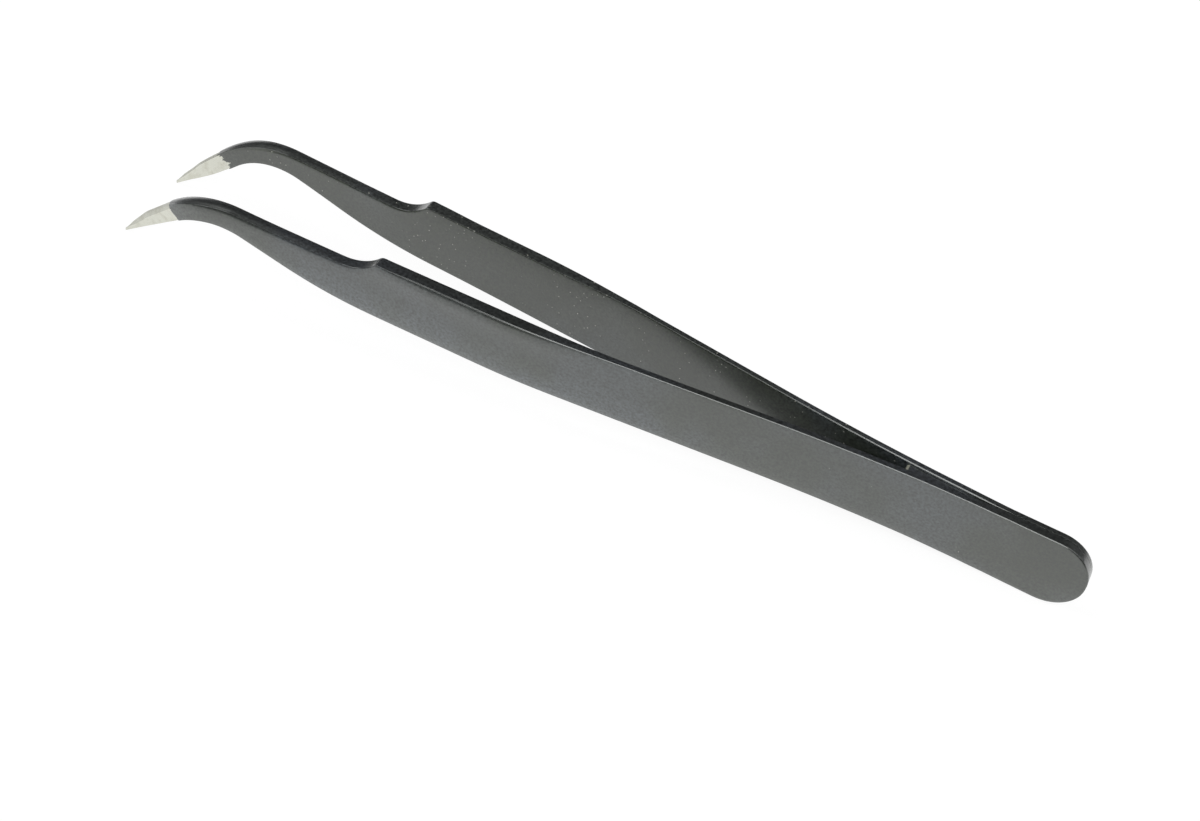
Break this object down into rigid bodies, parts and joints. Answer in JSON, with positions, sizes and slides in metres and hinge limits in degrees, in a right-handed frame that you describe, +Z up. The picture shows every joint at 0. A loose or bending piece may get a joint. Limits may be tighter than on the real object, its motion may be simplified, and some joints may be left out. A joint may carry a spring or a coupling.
{
  "type": "curved tweezers",
  "caption": "Curved-tip spring tweezers with a black anti-static coat, bare pointed tips, a finger notch and two arms welded over a small wedge at the tail.",
  "frame": {"origin": "on the table under the middle of the tweezers, which stand on edge on the round butt and the two points", "axes": "+X from the tail to the points, +Y out of the left arm, +Z up, towards the edge with the finger notch"},
  "size_m": [0.1206, 0.015, 0.0129],
  "materials": {
    "epoxy_coat": "satin black anti-static epoxy, sprayed and baked, with small pits and dust nibs",
    "tip_steel": "ground and polished stainless steel, bare at the tips",
    "spring_steel": "ground stainless steel under the coat"
  },
  "bodies": {
    "tail": {"left_tail": "spring_steel", "right_tail": "spring_steel", "tail_wedge": "spring_steel", "tail_coat": "epoxy_coat"},
    "left_arm": {"left_arm": "tip_steel", "left_arm_coat": "epoxy_coat"},
    "right_arm": {"right_arm": "tip_steel", "right_arm_coat": "epoxy_coat"}
  },
  "joints": [
    {"name": "left_arm_flex", "type": "hinge", "parent": "tail", "child": "left_arm", "pos_m": [-0.02429, 0.00211, 0.00634], "axis": [0.0496, 0, -0.9988], "range_deg": [0, 3.61], "stiffness_Nm_per_rad": 1.4},
    {"name": "right_arm_flex", "type": "hinge", "parent": "tail", "child": "right_arm", "pos_m": [-0.02429, -0.00211, 0.00634], "axis": [-0.0496, 0, 0.9988], "range_deg": [0, 3.61], "stiffness_Nm_per_rad": 1.4}
  ]
}
